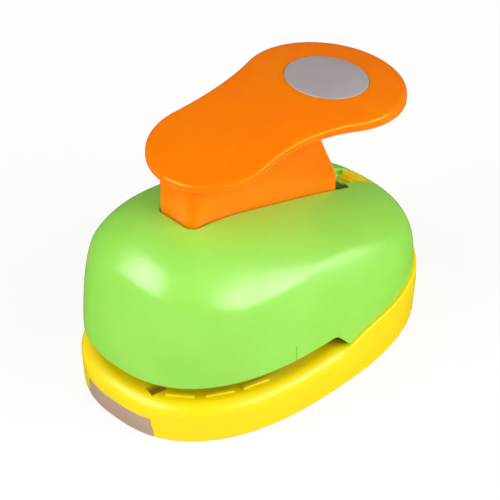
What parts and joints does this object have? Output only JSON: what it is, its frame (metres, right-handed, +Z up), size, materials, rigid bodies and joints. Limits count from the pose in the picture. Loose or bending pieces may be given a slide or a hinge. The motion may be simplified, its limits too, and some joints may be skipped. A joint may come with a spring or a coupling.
{
  "type": "circle craft punch",
  "caption": "Desk craft punch that cuts a circle from paper: oval base with a front paper mouth, domed cover and a waisted thumb lever on a box stem with a lock slide.",
  "frame": {"origin": "centre of the base oval, on the plane that the foot edge rests on", "axes": "+Z up; -Y towards the paper mouth; +X to the right seen from the mouth; X = 0 is the plane of symmetry"},
  "size_m": [0.0792, 0.12, 0.0867],
  "materials": {
    "yellow_abs": "glossy injection moulding",
    "green_abs": "glossy injection moulding",
    "orange_abs": "glossy injection moulding",
    "grey_insert": "fine satin moulding",
    "grey_badge": "satin disc",
    "white_acetal": "satin moulding",
    "tool_steel": "surface ground",
    "ground_steel": "centreless ground",
    "spring_steel": "drawn wire and rolled strip",
    "zinc_screw": "zinc plated",
    "black_screw": "blackened",
    "black_clip": "blackened spring steel"
  },
  "bodies": {
    "body": {"base_shell": "yellow_abs", "front_plate": "grey_insert", "cover_shell": "green_abs", "cover_screws": "zinc_screw", "die_plate": "tool_steel", "throat_spacer": "spring_steel", "guide_plate": "tool_steel", "die_screws": "black_screw", "guide_pin_left": "ground_steel", "guide_pin_right": "ground_steel", "return_spring_left": "spring_steel", "return_spring_right": "spring_steel", "pivot_pin": "ground_steel", "pin_clip_left": "black_clip", "pin_clip_right": "black_clip"},
    "lever": {"lever_handle": "orange_abs", "shape_badge": "grey_badge"},
    "punch": {"cutter": "tool_steel", "press_bar": "white_acetal", "bar_screws": "black_screw"},
    "lock": {"lock_slide": "yellow_abs", "lock_keeper": "white_acetal"}
  },
  "joints": [
    {"name": "lever_hinge", "type": "hinge", "parent": "body", "child": "lever", "pos_m": [0, -0.029, 0.05395], "axis": [-1, 0, 0], "range_deg": [0, 25], "stiffness_Nm_per_rad": 0.4, "springref_deg": -14.9},
    {"name": "cutter_slide", "type": "slide", "parent": "body", "child": "punch", "axis": [0, 0, -1], "range_m": [0, 0.005], "deforming": ["return_spring_left", "return_spring_right"]},
    {"name": "lock_slide_in", "type": "slide", "parent": "body", "child": "lock", "axis": [0, -0.8829, 0.4695], "range_m": [0, 0.004]}
  ],
  "couplings": [
    {"joint": "cutter_slide", "follows": "lever_hinge", "m_per_rad": 0.011409}
  ]
}
